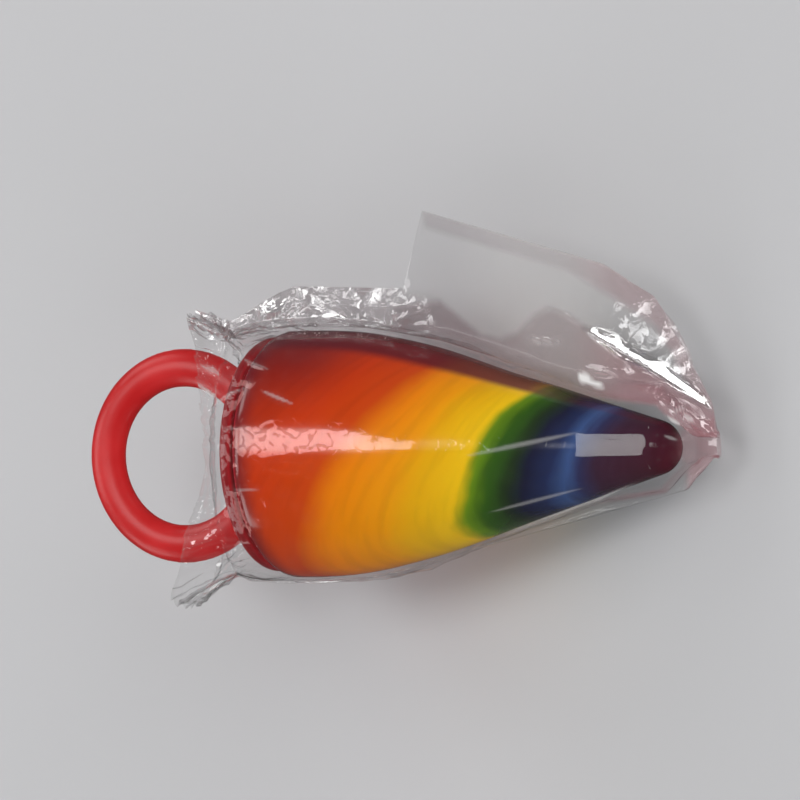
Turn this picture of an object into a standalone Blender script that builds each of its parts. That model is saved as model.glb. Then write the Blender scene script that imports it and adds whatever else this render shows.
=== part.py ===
"""A wrapped ring lollipop: a hard candy cone on a moulded plastic finger ring, in clear film.

The three pieces are modelled along an axis that runs from the ring (-X) to the candy's tip (+X),
with the ring flat in the XY plane. An empty then tilts them, so that the lollipop lies on the
cone's shoulder on a surface at z = 0.
"""

import math

import bmesh
import bpy

MM = 0.001

# Candy: a cone with a round shoulder, turned about the axis. Its base is at x = 0.
CANDY_RADIUS = 12.5 * MM
CANDY_HALF_ANGLE = math.radians(17.3)
SHOULDER_START = 2.5 * MM
SHOULDER_RADIUS = 53.0 * MM
TIP_RADIUS = 2.8 * MM
BASE_ROUNDING = 1.5 * MM
PIECE_GAP = 0.3 * MM

# Peg that the candy is cast on
PEG_RADIUS = 1.9 * MM
PEG_LENGTH = 8.5 * MM
PEG_CHAMFER = 0.5 * MM

# Saucer under the candy
SAUCER_RADIUS = 11.8 * MM
SAUCER_RIM = 1.1 * MM
SAUCER_CHAMFER = 0.28 * MM
SAUCER_DEPTH = 3.9 * MM
SAUCER_FOOT_RADIUS = 3.4 * MM

# Finger ring: a round band of flattened section, tangent to the saucer
HOLE_RADIUS = 7.0 * MM
HOLE_CENTRE = -11.8 * MM
BAND_WIDTH = 3.8 * MM
BAND_THICKNESS = 2.6 * MM
WEB_THICKNESS = 1.6 * MM
WEB_HALF_WIDTH = 10.2 * MM
WEB_LENGTH = 6.4 * MM

# Film: a sleeve round the candy, a mouth gathered over the saucer and a frill behind the mouth
FILM_WALL = 0.5 * MM
MOUTH_X = -5.8 * MM
MOUTH_HALF_WIDTH = 11.9 * MM
MOUTH_HALF_HEIGHT = 4.3 * MM
FRILL_REACH = 0.8 * MM
FRILL_SIDE_REACH = 6.0 * MM
FRILL_UPPER_SHARE = 0.5
FRILL_FLARE = 2.8 * MM
FRILL_LOBES = 9
FRILL_WAVE = 1.0 * MM
FRILL_UNEVEN = 0.8
FRILL_CURL = 1.3
FRILL_FLAT_FLARE = 0.3
FRILL_RAGGED = ((3, 0.14, 1.0), (7, 0.10, 0.0))

# Film's flat margin, seen square on. Each corner of its cut edge has a place (x, y), and the share
# of the way along its root, which runs from behind the saucer round the tip and back.
MARGIN_CORNERS = (
    (0.000, -5.6 * MM, 13.8 * MM),
    (0.065, 0.9 * MM, 16.9 * MM),
    (0.205, 12.4 * MM, 16.4 * MM),
    (0.235, 13.9 * MM, 16.4 * MM),
    (0.280, 17.0 * MM, 24.0 * MM),
    (0.490, 37.1 * MM, 18.2 * MM),
    (0.570, 41.8 * MM, 14.9 * MM),
    (0.620, 45.2 * MM, 9.1 * MM),
    (0.665, 47.8 * MM, 4.3 * MM),
    (0.700, 48.4 * MM, 0.0 * MM),
    (0.740, 45.0 * MM, -4.2 * MM),
    (1.000, 21.0 * MM, -9.9 * MM),
)
MARGIN_START = -4.6 * MM
MARGIN_TAIL = 21.0 * MM
MARGIN_STEP = 2.4 * MM
MARGIN_COLUMNS = 4
MARGIN_LIFT = 1.6 * MM

# How it lies
REST_TILT = math.radians(12.7)
FLAT_DEPTH = 0.25 * MM
FLAT_CUTTER_SIZE = (100.0 * MM, 60.0 * MM, 5.0 * MM)

AROUND = 48
MOUTH_ROWS = 6
FRILL_ROWS = 5
BAND_SEGMENTS = 56
BAND_SIDES = 14
WEB_STEPS = 12
MERGE_DISTANCE = 0.01 * MM

COLLECTION = "ring_lollipop"
CUTTERS = "cutters"


def clear_scene():
    """Empty the file, and make the two collections."""
    for item in list(bpy.data.objects):
        bpy.data.objects.remove(item, do_unlink=True)
    for name in (COLLECTION, CUTTERS):
        bpy.context.scene.collection.children.link(bpy.data.collections.new(name))


def material(name, colour, roughness, alpha=1.0):
    """A plain plastic-like surface."""
    made = bpy.data.materials.new(name)
    made.use_nodes = True
    shader = made.node_tree.nodes["Principled BSDF"]
    shader.inputs["Base Color"].default_value = (*colour, 1.0)
    shader.inputs["Roughness"].default_value = roughness
    shader.inputs["Metallic"].default_value = 0.0
    shader.inputs["Alpha"].default_value = alpha
    return made


def add_object(name, mesh, parent, collection=COLLECTION):
    """Link a mesh as an object under its parent."""
    made = bpy.data.objects.new(name, mesh)
    bpy.data.collections[collection].objects.link(made)
    made.parent = parent
    if collection == CUTTERS:
        made.hide_render = True
        made.display_type = "WIRE"
    return made


def arc(centre, radius, first, last, steps):
    """Points (x, r) of an arc. Angles run from the +X direction towards +r."""
    angles = [first + (last - first) * i / steps for i in range(steps + 1)]
    return [(centre[0] + radius * math.cos(a), centre[1] + radius * math.sin(a)) for a in angles]


def cone_outline(clearance=0.0, tip_steps=5, shoulder_steps=7, corner_steps=3):
    """Half outline (x, r) of the candy from tip to base edge, grown by a clearance."""
    shoulder_centre = (SHOULDER_START, CANDY_RADIUS - SHOULDER_RADIUS)
    shoulder_end = (
        shoulder_centre[0] + SHOULDER_RADIUS * math.sin(CANDY_HALF_ANGLE),
        shoulder_centre[1] + SHOULDER_RADIUS * math.cos(CANDY_HALF_ANGLE),
    )
    apex = shoulder_end[0] + shoulder_end[1] / math.tan(CANDY_HALF_ANGLE)
    tip_centre = (apex - TIP_RADIUS / math.sin(CANDY_HALF_ANGLE), 0.0)
    corner_centre = (BASE_ROUNDING, CANDY_RADIUS - BASE_ROUNDING)
    quarter = math.pi / 2
    side = quarter - CANDY_HALF_ANGLE
    tip = arc(tip_centre, TIP_RADIUS + clearance, 0.0, side, tip_steps)
    shoulder = arc(shoulder_centre, SHOULDER_RADIUS + clearance, side, quarter, shoulder_steps)
    corner = arc(corner_centre, BASE_ROUNDING + clearance, quarter, 2 * quarter, corner_steps)
    start, end = tip[-1], shoulder[0]
    straight = [
        (start[0] + (end[0] - start[0]) * i / 4, start[1] + (end[1] - start[1]) * i / 4)
        for i in range(1, 4)
    ]
    return tip + straight + shoulder + corner


def turned(name, outline, parent, collection=COLLECTION, steps=AROUND):
    """A solid turned about the X axis from an outline of (x, r), tip first."""
    mesh = bpy.data.meshes.new(name)
    points = [(r, 0.0, x) for x, r in outline]
    edges = [(i, i + 1) for i in range(len(points) - 1)]
    mesh.from_pydata(points, edges, [])
    made = add_object(name, mesh, parent, collection)
    made.rotation_euler = (0.0, math.pi / 2, 0.0)
    screw = made.modifiers.new("turn", "SCREW")
    screw.axis = "Z"
    screw.steps = steps
    screw.render_steps = steps
    screw.use_merge_vertices = True
    screw.merge_threshold = MERGE_DISTANCE
    screw.use_smooth_shade = True
    return made


def sheet(name, rows, parent, closed=False, pole=None, collection=COLLECTION):
    """A surface lofted through rows of points. A pole closes the first row to one point."""
    mesh = bpy.data.meshes.new(name)
    build = bmesh.new()
    grid = [[build.verts.new(point) for point in row] for row in rows]
    count = len(rows[0])
    last = count if closed else count - 1
    for near, far in zip(grid, grid[1:]):
        for i in range(last):
            j = (i + 1) % count
            build.faces.new((near[i], far[i], far[j], near[j]))
    if pole is not None:
        point = build.verts.new(pole)
        for i in range(last):
            build.faces.new((point, grid[0][i], grid[0][(i + 1) % count]))
    build.to_mesh(mesh)
    build.free()
    mesh.shade_smooth()
    return add_object(name, mesh, parent, collection)


def thicken(item, thickness, offset):
    """Give a surface its thickness: offset 1 is outwards and 0 is both ways."""
    solid = item.modifiers.new("thickness", "SOLIDIFY")
    solid.thickness = thickness
    solid.offset = offset
    return solid


def combine(item, other, operation):
    """Join or cut one object with another."""
    step = item.modifiers.new(other.name, "BOOLEAN")
    step.operation = operation
    step.object = other
    step.solver = "EXACT"
    return step


def make_candy(holder):
    """The cast cone, with the socket that its peg leaves."""
    socket_radius = PEG_RADIUS + PIECE_GAP
    socket_end = PEG_LENGTH + PIECE_GAP
    outline = cone_outline()
    outline += [(0.0, socket_radius), (socket_end, socket_radius), (socket_end, 0.0)]
    candy = turned("candy", outline, holder)
    candy.data.materials.append(material("candy", (0.72, 0.13, 0.02), 0.12))
    return candy


def make_band(holder):
    """The finger ring's band: a torus, stretched outwards from its hole."""
    bpy.ops.mesh.primitive_torus_add(
        major_segments=BAND_SEGMENTS,
        minor_segments=BAND_SIDES,
        major_radius=HOLE_RADIUS + BAND_THICKNESS / 2,
        minor_radius=BAND_THICKNESS / 2,
    )
    band = bpy.context.object
    for vertex in band.data.vertices:
        radius = math.hypot(vertex.co.x, vertex.co.y)
        stretched = HOLE_RADIUS + (radius - HOLE_RADIUS) * BAND_WIDTH / BAND_THICKNESS
        vertex.co.x *= stretched / radius
        vertex.co.y *= stretched / radius
    mesh = band.data
    mesh.shade_smooth()
    bpy.data.objects.remove(band)
    made = add_object("ring_band", mesh, holder, CUTTERS)
    made.location.x = HOLE_CENTRE
    return made


def make_web(holder):
    """The flat gussets between the band and the saucer, outside the band's own circle."""
    near = -PIECE_GAP - SAUCER_RIM / 2
    far = near - WEB_LENGTH
    middle = HOLE_RADIUS + BAND_WIDTH / 2
    outline = [(near, WEB_HALF_WIDTH)]
    first = math.acos((far - HOLE_CENTRE) / middle)
    for i in range(WEB_STEPS + 1):
        angle = first * (1 - 2 * i / WEB_STEPS)
        outline.append((HOLE_CENTRE + middle * math.cos(angle), middle * math.sin(angle)))
    outline.append((near, -WEB_HALF_WIDTH))
    mesh = bpy.data.meshes.new("ring_web")
    build = bmesh.new()
    face = build.faces.new([build.verts.new((x, y, -WEB_THICKNESS / 2)) for x, y in outline])
    grown = bmesh.ops.extrude_face_region(build, geom=[face])
    top = [v for v in grown["geom"] if isinstance(v, bmesh.types.BMVert)]
    bmesh.ops.translate(build, verts=top, vec=(0.0, 0.0, WEB_THICKNESS))
    bmesh.ops.recalc_face_normals(build, faces=build.faces)
    build.to_mesh(mesh)
    build.free()
    return add_object("ring_web", mesh, holder, CUTTERS)


def make_ring(holder):
    """The moulded ring: saucer and peg in one turned body, with the band and its gussets."""
    top = -PIECE_GAP
    edge = SAUCER_CHAMFER
    outline = [
        (PEG_LENGTH, 0.0),
        (PEG_LENGTH, PEG_RADIUS - PEG_CHAMFER),
        (PEG_LENGTH - PEG_CHAMFER, PEG_RADIUS),
        (top, PEG_RADIUS),
        (top, SAUCER_RADIUS - edge),
        (top - edge, SAUCER_RADIUS),
        (top - SAUCER_RIM + edge, SAUCER_RADIUS),
        (top - SAUCER_RIM, SAUCER_RADIUS - edge),
        (top - SAUCER_DEPTH + edge, SAUCER_FOOT_RADIUS),
        (top - SAUCER_DEPTH, SAUCER_FOOT_RADIUS - edge),
        (top - SAUCER_DEPTH, 0.0),
    ]
    ring = turned("ring", outline, holder)
    combine(ring, make_band(holder), "UNION")
    combine(ring, make_web(holder), "UNION")
    ring.data.materials.append(material("ring", (0.58, 0.03, 0.03), 0.35))
    return ring


def ease(share):
    """0 to 1 with no corner at either end."""
    return share * share * (3 - 2 * share)


def film_row(x, half_width, half_height, share=0.0):
    """One closed row of the sleeve. The share is 0 at the mouth and 1 at the frill's edge."""
    row = []
    for i in range(AROUND):
        angle = 2 * math.pi * i / AROUND
        across = math.cos(angle)
        sideways = across * across * (FRILL_UPPER_SHARE if across > 0 else 1)
        reach = FRILL_REACH + FRILL_SIDE_REACH * sideways
        ragged = 1 + sum(size * math.sin(n * angle + turn) for n, size, turn in FRILL_RAGGED)
        wave = FRILL_WAVE * math.sin(FRILL_LOBES * angle + FRILL_UNEVEN * math.sin(2 * angle))
        side_flare = FRILL_FLAT_FLARE + (1 - FRILL_FLAT_FLARE) * sideways
        grown = FRILL_FLARE * side_flare * share**FRILL_CURL + wave * ease(share)
        along = x - reach * ragged * share
        row.append(
            (along, (half_width + grown) * across, (half_height + grown) * math.sin(angle))
        )
    return row


def sleeve_body(clearance):
    """Half outline (x, half width, half height) of the sleeve from the tip back to the mouth."""
    corner_steps = 1
    outline = cone_outline(clearance, corner_steps=corner_steps)[:-corner_steps]
    body = [(x, r, r) for x, r in outline]
    start_x, start_radius = outline[-1]
    grown = clearance - PIECE_GAP
    for i in range(1, MOUTH_ROWS + 1):
        share = i / MOUTH_ROWS
        closing = share**3
        width = start_radius + (MOUTH_HALF_WIDTH + grown - start_radius) * closing
        height = start_radius + (MOUTH_HALF_HEIGHT + grown - start_radius) * closing
        body.append((start_x + (MOUTH_X - start_x) * share, width, height))
    return body


def sleeve_rows():
    """Rows of the film's inner face from the tip back to the frill's edge, and the tip itself."""
    body = sleeve_body(PIECE_GAP)
    rows = [film_row(*station) for station in body[1:]]
    for i in range(1, FRILL_ROWS + 1):
        rows.append(film_row(*body[-1], i / FRILL_ROWS))
    return rows, body[0][0]


def point_along(line, share):
    """The point at a share of a line's length."""
    lengths = [math.dist(a, b) for a, b in zip(line, line[1:])]
    left = sum(lengths) * share
    for a, b, length in zip(line, line[1:], lengths):
        if left <= length:
            return [p + (q - p) * left / length for p, q in zip(a, b)]
        left -= length
    return line[-1]


def margin_rows():
    """Rows of the flat margin, each from inside the sleeve's wall out to the film's cut edge."""
    wall = [(x, width) for x, width, _ in sleeve_body(PIECE_GAP + FILM_WALL / 2)]
    upper = [(x, r) for x, r in wall if x > MARGIN_START]
    lower = [(x, -r) for x, r in wall if x > MARGIN_TAIL]
    root = upper[::-1] + lower[1:]
    rows = []
    for first, last in zip(MARGIN_CORNERS, MARGIN_CORNERS[1:]):
        steps = math.ceil(math.dist(first[1:], last[1:]) / MARGIN_STEP)
        for i in range(steps):
            share, x, y = (a + (b - a) * i / steps for a, b in zip(first, last))
            rows.append(margin_row(point_along(root, share), (x, y)))
    rows.append(margin_row(root[-1], MARGIN_CORNERS[-1][1:]))
    return rows


def margin_row(root, edge):
    """One row of the margin. It lifts a little towards its free corner."""
    row = []
    for j in range(MARGIN_COLUMNS + 1):
        out = j / MARGIN_COLUMNS
        x, y = (a + (b - a) * out for a, b in zip(root, edge))
        lift = MARGIN_LIFT * out * out * max(edge[1], 0.0) / max(c[2] for c in MARGIN_CORNERS)
        row.append((x, y, lift))
    return row


def make_wrapper(holder):
    """The clear film: sleeve, gathered mouth and frill, with the flat margin fused on."""
    rows, tip = sleeve_rows()
    wrapper = sheet("wrapper", rows, holder, closed=True, pole=(tip, 0.0, 0.0))
    thicken(wrapper, FILM_WALL, 1.0)
    margin = sheet("film_margin", margin_rows(), holder, collection=CUTTERS)
    thicken(margin, FILM_WALL, 0.0)
    combine(wrapper, margin, "UNION")
    wrapper.data.materials.append(material("wrapper", (0.9, 0.92, 0.94), 0.08, 0.3))
    return wrapper


def world_points(item):
    """All corners of an object as it finally stands."""
    evaluated = item.evaluated_get(bpy.context.evaluated_depsgraph_get())
    mesh = evaluated.to_mesh()
    points = [evaluated.matrix_world @ vertex.co for vertex in mesh.vertices]
    evaluated.to_mesh_clear()
    return points


def lay_down(holder, parts):
    """Tilt the parts on to their side, sunk by the depth of the flat, with z = 0 as the surface."""
    holder.rotation_euler = (0.0, REST_TILT, 0.0)
    bpy.context.view_layer.update()
    points = [point for part in parts for point in world_points(part)]
    for axis in (0, 1):
        values = [point[axis] for point in points]
        holder.location[axis] = -(min(values) + max(values)) / 2
    holder.location.z = -min(point.z for point in points) - FLAT_DEPTH
    bpy.context.view_layer.update()


def flatten_underside(item):
    """Press a small flat into the film where it lies on the surface."""
    bpy.ops.mesh.primitive_cube_add(size=1.0)
    floor = bpy.context.object
    mesh = floor.data
    bpy.data.objects.remove(floor)
    for vertex in mesh.vertices:
        vertex.co.z -= 0.5
        for axis, size in enumerate(FLAT_CUTTER_SIZE):
            vertex.co[axis] *= size
    cutter = add_object("floor_cut", mesh, None, CUTTERS)
    combine(item, cutter, "DIFFERENCE")


def main():
    clear_scene()
    holder = bpy.data.objects.new("lollipop", None)
    bpy.data.collections[COLLECTION].objects.link(holder)
    candy = make_candy(holder)
    ring = make_ring(holder)
    wrapper = make_wrapper(holder)
    lay_down(holder, [candy, ring, wrapper])
    flatten_underside(wrapper)


main()
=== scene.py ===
"""Looks of the wrapped ring lollipop: a rainbow hard candy on a red plastic ring, in clear film.

All three pieces are made in the lollipop's own frame, in millimetres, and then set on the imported
model: X runs from the ring to the candy's tip, the ring lies flat in the XY plane, and Z is the
side that shows. The base of the candy is at the origin.
"""

import math
import random
from collections import namedtuple

import bmesh
import bpy
import numpy as np
from mathutils import Matrix, Vector
from mathutils.bvhtree import BVHTree
from mathutils.geometry import delaunay_2d_cdt

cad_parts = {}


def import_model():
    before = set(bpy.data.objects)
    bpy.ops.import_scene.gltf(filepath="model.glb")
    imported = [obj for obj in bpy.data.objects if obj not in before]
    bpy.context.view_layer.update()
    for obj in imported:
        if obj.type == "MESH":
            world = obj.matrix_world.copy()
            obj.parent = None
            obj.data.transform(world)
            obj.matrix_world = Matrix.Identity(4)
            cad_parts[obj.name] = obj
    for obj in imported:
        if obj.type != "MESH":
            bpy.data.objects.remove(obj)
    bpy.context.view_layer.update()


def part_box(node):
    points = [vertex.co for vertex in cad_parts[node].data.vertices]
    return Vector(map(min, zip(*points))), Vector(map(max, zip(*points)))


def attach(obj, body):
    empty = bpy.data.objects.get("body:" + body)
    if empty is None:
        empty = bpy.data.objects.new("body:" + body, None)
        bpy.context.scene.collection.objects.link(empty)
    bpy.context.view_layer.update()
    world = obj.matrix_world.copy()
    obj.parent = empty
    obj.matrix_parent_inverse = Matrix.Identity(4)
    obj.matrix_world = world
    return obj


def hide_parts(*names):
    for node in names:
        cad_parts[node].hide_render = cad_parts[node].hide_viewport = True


MM = 0.001
BODY = "root"

# The candy's outline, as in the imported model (mm)
CANDY_RADIUS = 12.5
CANDY_HALF_ANGLE = math.radians(17.3)
SHOULDER_START = 2.5
SHOULDER_RADIUS = 53.0
TIP_RADIUS = 2.8
BASE_ROUNDING = 1.5
PIECE_GAP = 0.3
REST_TILT = math.radians(12.7)
# The candy's mesh: its steps round, and those along its outline
CANDY_STEPS = 180
TIP_STEPS = 24
SIDE_STEPS = 50
SHOULDER_STEPS = 40
BASE_EDGE_STEPS = 9
# The rings of points on its base, how uneven it is, and the hole left at its axis (mm)
BASE_RINGS = (8.0, 5.0)
UNEVENNESS = 0.035
CANDY_AXIS_RADIUS = 0.01

# The ring's outlines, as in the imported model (mm)
PEG_RADIUS = 1.9
PEG_LENGTH = 8.5
SAUCER_RADIUS = 11.8
SAUCER_RIM = 1.1
SAUCER_DEPTH = 3.9
SAUCER_FOOT_RADIUS = 3.4
HOLE_RADIUS = 7.0
HOLE_CENTRE = -11.8
BAND_WIDTH = 3.8
BAND_THICKNESS = 2.6
WEB_THICKNESS = 1.6
WEB_HALF_WIDTH = 10.2
WEB_LENGTH = 6.4
# The ring's mesh: its fine forms, its steps, and the hole left at the saucer's axis (mm)
PEG_BEVEL = 0.5
MOULD_RIDGE = 0.06
SAUCER_STEPS = 120
BAND_STEPS = (120, 28)
WEB_STEPS = 24
RING_VOXEL = 0.2
SAUCER_AXIS_RADIUS = 0.02

# The film: how far it lies from the candy, its mouth and its frill (mm)
FILM_CLEARANCE = 0.22
MOUTH_X = -5.8
MOUTH_HALF_WIDTH = 11.9
MOUTH_HALF_HEIGHT = 4.3
FRILL_REACH = 0.8
FRILL_SIDE_REACH = 6.0
FRILL_UPPER_SHARE = 0.5
FRILL_FLARE = 2.8
# The cut edge of its margin, the fold on the other side, and its end past the tip (mm)
UPPER_EDGE = (
    (-5.8, 13.6),
    (0.9, 16.9),
    (12.4, 16.4),
    (13.9, 16.4),
    (17.0, 24.0),
    (37.1, 18.2),
    (41.8, 14.9),
    (45.2, 9.1),
    (47.8, 4.3),
    (48.4, 0.5),
)
LOWER_EDGE = (
    (21.0, -9.9),
    (45.0, -4.2),
    (48.4, -0.5),
)
LEAST_MARGIN = 0.6
LEAST_FOLD = 0.35
FILM_END = 48.4
# How it runs from the candy's side to that end, with a small flat facet on the way (mm)
TIP_LEAVE = 35.0
TIP_BEND = 42.4
TIP_SLOPE = math.tan(math.radians(7.6))
TIP_FACET = (35.0, 42.2)
TIP_FACET_DEPTH = 0.12
TIP_FACET_LEAN = 0.07
LEAST_HALF_WIDTH = 0.8
LEAST_HALF_HEIGHT = 0.12
# How it hangs beside the candy, how its margin rises, and how far apart its two layers are (mm)
TENT_SAG = 1.15
MARGIN_SLOPE = 0.11
MARGIN_CURL = 0.03
LAYER_GAP = 0.05
LAYER_BULGE = 0.12
# How far it hangs under the candy, and how far it stays off the floor (mm)
SAG = 0.45
FLOOR_GAP = 0.04
# The pleats at its mouth: how many, their seed, and how high they stand (mm)
PLEATS = ((46, 21, 0.42), (90, 22, 0.18))
# The facets that shine or not: how far apart (mm), and their seed
SPOT_STEP = (1.7, 1.2)
SPOT_SEED = 19

# A crease that runs straight (mm): its ends, its half width on the right and on the left of that
# line, its height, how much painted white glint lies along it, and how much mauve is painted along
# it as painted shade
Fold = namedtuple("Fold", "start end right left height whitened tinted")
BIG_FOLD = Fold((33.8, 12.0), (47.6, 3.9), 0.6, 1.5, 0.30, 0.0, 0.0)
FOLDS = (
    BIG_FOLD,
    # The hump beside the big fold, and the small folds under both
    Fold((26.6, 11.6), (30.6, 14.3), 0.5, 0.6, 0.13, 0.0, 0.9),
    Fold((30.0, 14.3), (34.6, 12.0), 0.5, 0.6, 0.13, 0.0, 0.8),
    Fold((26.8, 10.9), (32.2, 10.6), 0.45, 0.45, 0.16, 0.55, 0.0),
    Fold((24.9, 9.9), (26.8, 9.3), 0.3, 0.3, 0.10, 0.3, 0.0),
    Fold((33.6, 8.0), (37.2, 7.0), 0.5, 0.9, 0.22, 0.3, 0.0),
    Fold((26.4, 9.6), (33.8, 8.6), 0.8, 0.9, 0.10, 0.0, 1.0),
    Fold((33.2, 7.5), (35.0, 6.5), 1.0, 0.9, 0.12, 2.2, 0.0),
    Fold((33.5, 7.1), (36.8, 5.9), 0.6, 0.5, 0.10, 2.2, 0.0),
    # By the mouth
    Fold((-7.8, 7.3), (-4.4, 4.6), 0.35, 0.35, 0.12, 1.6, 0.0),
    Fold((-7.6, 8.9), (-4.8, 7.6), 0.35, 0.35, 0.12, 0.9, 0.0),
    # Over the dark end of the candy
    Fold((24.0, -0.6), (36.2, 1.8), 0.45, 0.45, 0.04, 0.5, 0.0),
    Fold((22.5, -9.1), (41.5, -3.1), 0.25, 0.25, 0.0, 0.8, 0.0),
    Fold((25.0, -6.2), (35.5, -3.7), 0.3, 0.3, 0.08, 0.45, 0.0),
    # Over the candy's base edge
    Fold((3.0, 6.5), (7.4, 4.9), 0.3, 0.3, 0.10, 0.6, 0.0),
    Fold((-2.6, 5.1), (1.6, 6.8), 0.3, 0.3, 0.12, 0.6, 0.0),
    Fold((-0.6, 9.6), (3.6, 8.4), 0.25, 0.25, 0.12, 0.4, 0.0),
    Fold((-2.0, 11.3), (1.4, 12.7), 0.25, 0.25, 0.12, 0.5, 0.0),
    Fold((-1.0, 2.6), (3.0, 2.9), 0.22, 0.22, 0.10, 0.3, 0.0),
    Fold((-0.6, -3.6), (4.4, -3.2), 0.25, 0.25, 0.10, 0.4, 0.0),
    # Round the candy's tip
    Fold((43.5, 3.0), (44.9, 2.0), 0.4, 0.4, 0.10, 1.3, 0.0),
    Fold((44.8, 3.4), (46.2, 2.3), 0.45, 0.45, 0.12, 0.9, 0.0),
    Fold((44.0, 3.5), (45.2, 4.0), 0.4, 0.4, 0.10, 0.8, 0.0),
    Fold((43.6, 1.2), (44.8, 0.6), 0.3, 0.3, 0.06, 0.5, 0.0),
)
# Below this line the film by the candy is painted mauve, as painted shade
UNDER_FOLDS = (
    (10.0, 10.8),
    (13.0, 15.0),
    (18.0, 15.2),
    (22.5, 11.6),
    (24.5, 11.2),
    (26.6, 11.8),
    (28.6, 13.5),
    (30.6, 14.1),
    (32.6, 13.4),
    (34.2, 12.2),
    (47.6, 3.9),
)

# How much light each part of the film sends back face on
SLEEVE_SHINE = 0.055
FLAP_SHINE = 0.035
CRINKLE_SHINE = 0.20
FOLD_SHINE = 0.40
FRILL_SHINE = 0.1

# The film's mesh
ROW_STEP = 0.24
FRONT_COLUMNS = 170
BACK_COLUMNS = 110
MARGIN_COLUMNS = 40
FOLD_COLUMNS = 6
FRILL_ROWS = 40
# How far apart the front and the back lie on the flat sheet that the material reads (mm)
SHEET_APART = 20.0

# The photograph's view
VIEW_ANGLE = math.radians(28.0)
VIEW_ROLL = math.radians(1.2)
VIEW_WIDTH = 80.0 * MM
VIEW_CENTRE = (13.0, 5.2, 0.0)
LENS = 400.0
SENSOR = 36.0


def srgb(code):
    """The linear colour of a hexadecimal sRGB code."""
    values = [int(code[i : i + 2], 16) / 255 for i in (0, 2, 4)]
    linear = [v / 12.92 if v <= 0.04045 else ((v + 0.055) / 1.055) ** 2.4 for v in values]
    return (*linear, 1.0)


def ease(low, high, value):
    """0 below low and 1 above high, with a smooth rise between them."""
    share = np.clip((np.asarray(value, float) - low) / (high - low), 0.0, 1.0)
    return share * share * (3 - 2 * share)


# ------------------------------------------------------------------------------------ the frame


def tip_centre_x():
    """How far from the candy's base its tip's rounding has its centre."""
    shoulder_x = SHOULDER_START + SHOULDER_RADIUS * math.sin(CANDY_HALF_ANGLE)
    shoulder_r = CANDY_RADIUS - SHOULDER_RADIUS * (1 - math.cos(CANDY_HALF_ANGLE))
    apex = shoulder_x + shoulder_r / math.tan(CANDY_HALF_ANGLE)
    return apex - TIP_RADIUS / math.sin(CANDY_HALF_ANGLE)


def lollipop_frame():
    """The matrix from the lollipop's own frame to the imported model, found from the candy's box."""
    low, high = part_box("candy")
    cosine, sine = math.cos(REST_TILT), math.sin(REST_TILT)
    corner_x, corner_r = BASE_ROUNDING, CANDY_RADIUS - BASE_ROUNDING
    base_x = high.x - (tip_centre_x() * cosine + TIP_RADIUS) * MM
    base_z = high.z - (corner_r * cosine - corner_x * sine + BASE_ROUNDING) * MM
    base = Vector((base_x, (low.y + high.y) / 2, base_z))
    return Matrix.Translation(base) @ Matrix.Rotation(REST_TILT, 4, "Y") @ Matrix.Scale(MM, 4)


def add_piece(name, mesh, node):
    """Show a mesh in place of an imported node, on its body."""
    piece = bpy.data.objects.new(name, mesh)
    bpy.context.scene.collection.objects.link(piece)
    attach(piece, BODY)
    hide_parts(node)


def loft(name, grid, frame, closed=False):
    """A mesh through a grid of points (rows, columns, 3) in millimetres."""
    rows, columns = grid.shape[:2]
    matrix = np.array(frame)
    points = grid.reshape(-1, 3) @ matrix[:3, :3].T + matrix[:3, 3]
    index = np.arange(rows * columns).reshape(rows, columns)
    following = np.roll(index, -1, axis=1) if closed else index[:, 1:]
    here = index if closed else index[:, :-1]
    faces = np.stack(
        [here[:-1], here[1:], following[1:], following[:-1]], axis=-1
    ).reshape(-1, 4)
    mesh = bpy.data.meshes.new(name)
    mesh.from_pydata(points.tolist(), [], faces.tolist())
    mesh.shade_smooth()
    return mesh


def store(mesh, name, values):
    """Keep a number, or three, for each corner of a mesh, for its material to read."""
    values = np.asarray(values, np.float32)
    if values.ndim == 1:
        mesh.attributes.new(name, "FLOAT", "POINT").data.foreach_set("value", values)
    else:
        layer = mesh.attributes.new(name, "FLOAT_VECTOR", "POINT")
        layer.data.foreach_set("vector", values.ravel())


# --------------------------------------------------------------------------------------- candy


def cone_outline(clearance=0.0):
    """Half outline (x, r) of the candy from the tip back to its base edge, grown by a clearance."""
    tip_centre = tip_centre_x()
    side = math.pi / 2 - CANDY_HALF_ANGLE
    tip_angles = np.linspace(0.0, side, TIP_STEPS)
    tip_r = TIP_RADIUS + clearance
    tip = np.stack([tip_centre + tip_r * np.cos(tip_angles), tip_r * np.sin(tip_angles)], 1)
    angles = np.linspace(side, math.pi / 2, SHOULDER_STEPS)
    turn_r = SHOULDER_RADIUS + clearance
    centre_r = CANDY_RADIUS - SHOULDER_RADIUS
    shoulder = np.stack(
        [SHOULDER_START + turn_r * np.cos(angles), centre_r + turn_r * np.sin(angles)], 1
    )
    share = np.linspace(0.0, 1.0, SIDE_STEPS + 2)[1:-1, None]
    straight = tip[-1] + (shoulder[0] - tip[-1]) * share
    return np.concatenate([tip, straight, shoulder])


def base_corner():
    """The rounded edge between the candy's side and its base."""
    angles = np.linspace(math.pi / 2, math.pi, BASE_EDGE_STEPS)
    radius = CANDY_RADIUS - BASE_ROUNDING
    x = BASE_ROUNDING + BASE_ROUNDING * np.cos(angles)
    return np.stack([x, radius + BASE_ROUNDING * np.sin(angles)], 1)


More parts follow.
